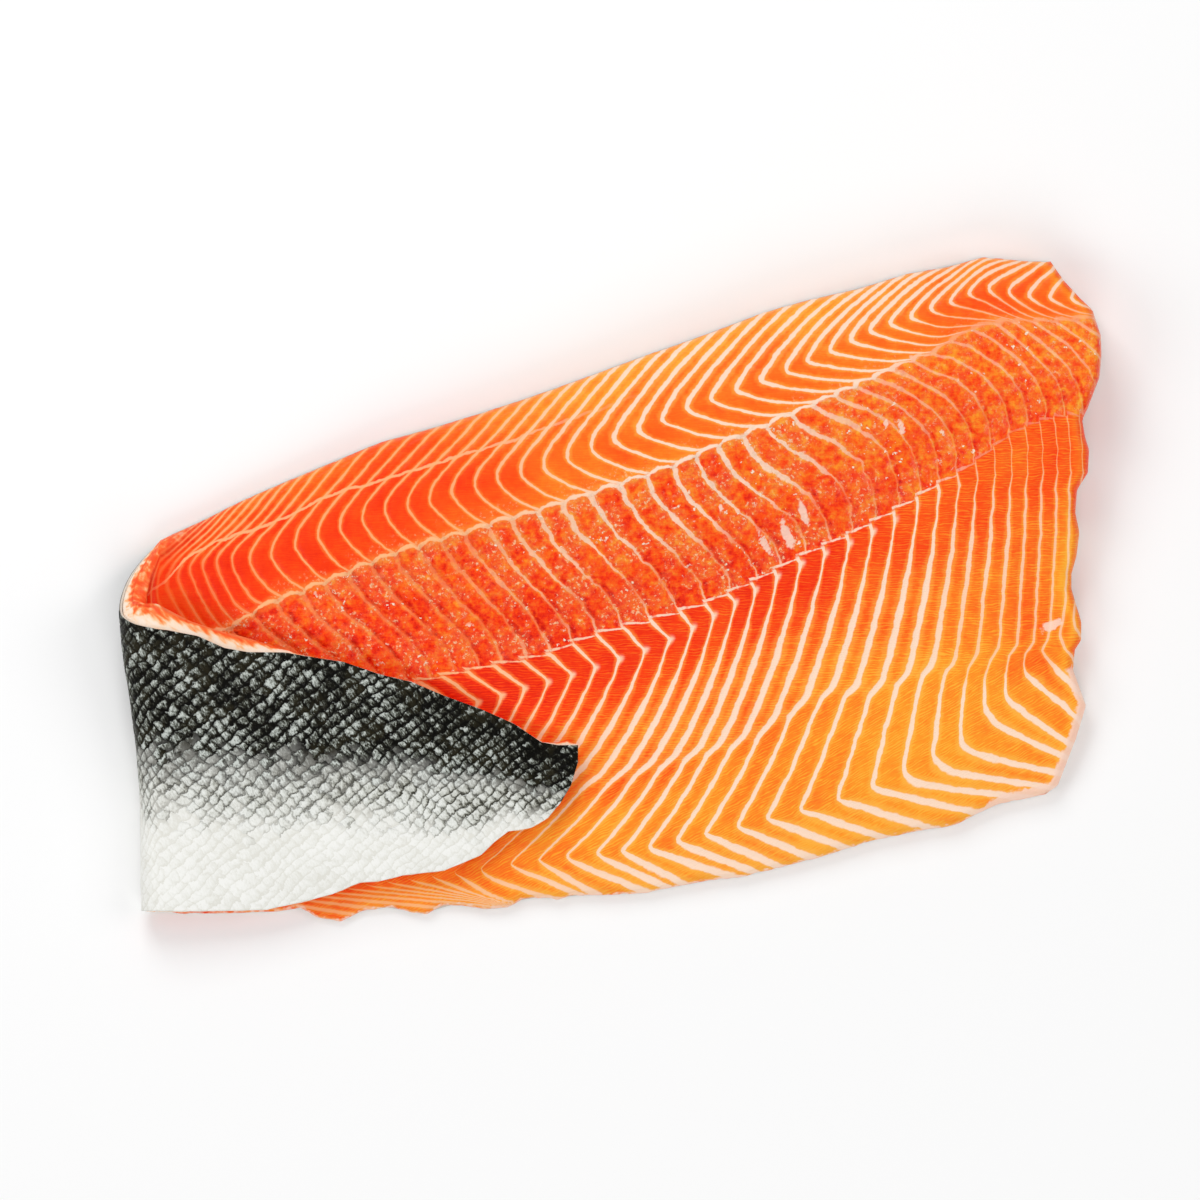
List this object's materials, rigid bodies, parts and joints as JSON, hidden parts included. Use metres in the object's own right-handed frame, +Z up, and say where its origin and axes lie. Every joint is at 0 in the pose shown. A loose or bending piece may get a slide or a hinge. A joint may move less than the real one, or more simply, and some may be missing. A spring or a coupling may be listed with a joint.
{
  "type": "skin-on salmon fillet",
  "caption": "Raw skin-on side of salmon, flesh side up, with its narrow tail end folded over so that the scaly skin shows.",
  "frame": {"origin": "on the surface the fillet lies on, under the centre of its box", "axes": "+X from the fold to the wide cut end, +Y towards the back of the fish, +Z up"},
  "size_m": [0.3533, 0.2394, 0.0275],
  "materials": {
    "flesh": "moist, glossy",
    "skin": "moist scales"
  },
  "bodies": {
    "root": {"flesh": "flesh", "skin": "skin"}
  },
  "joints": []
}
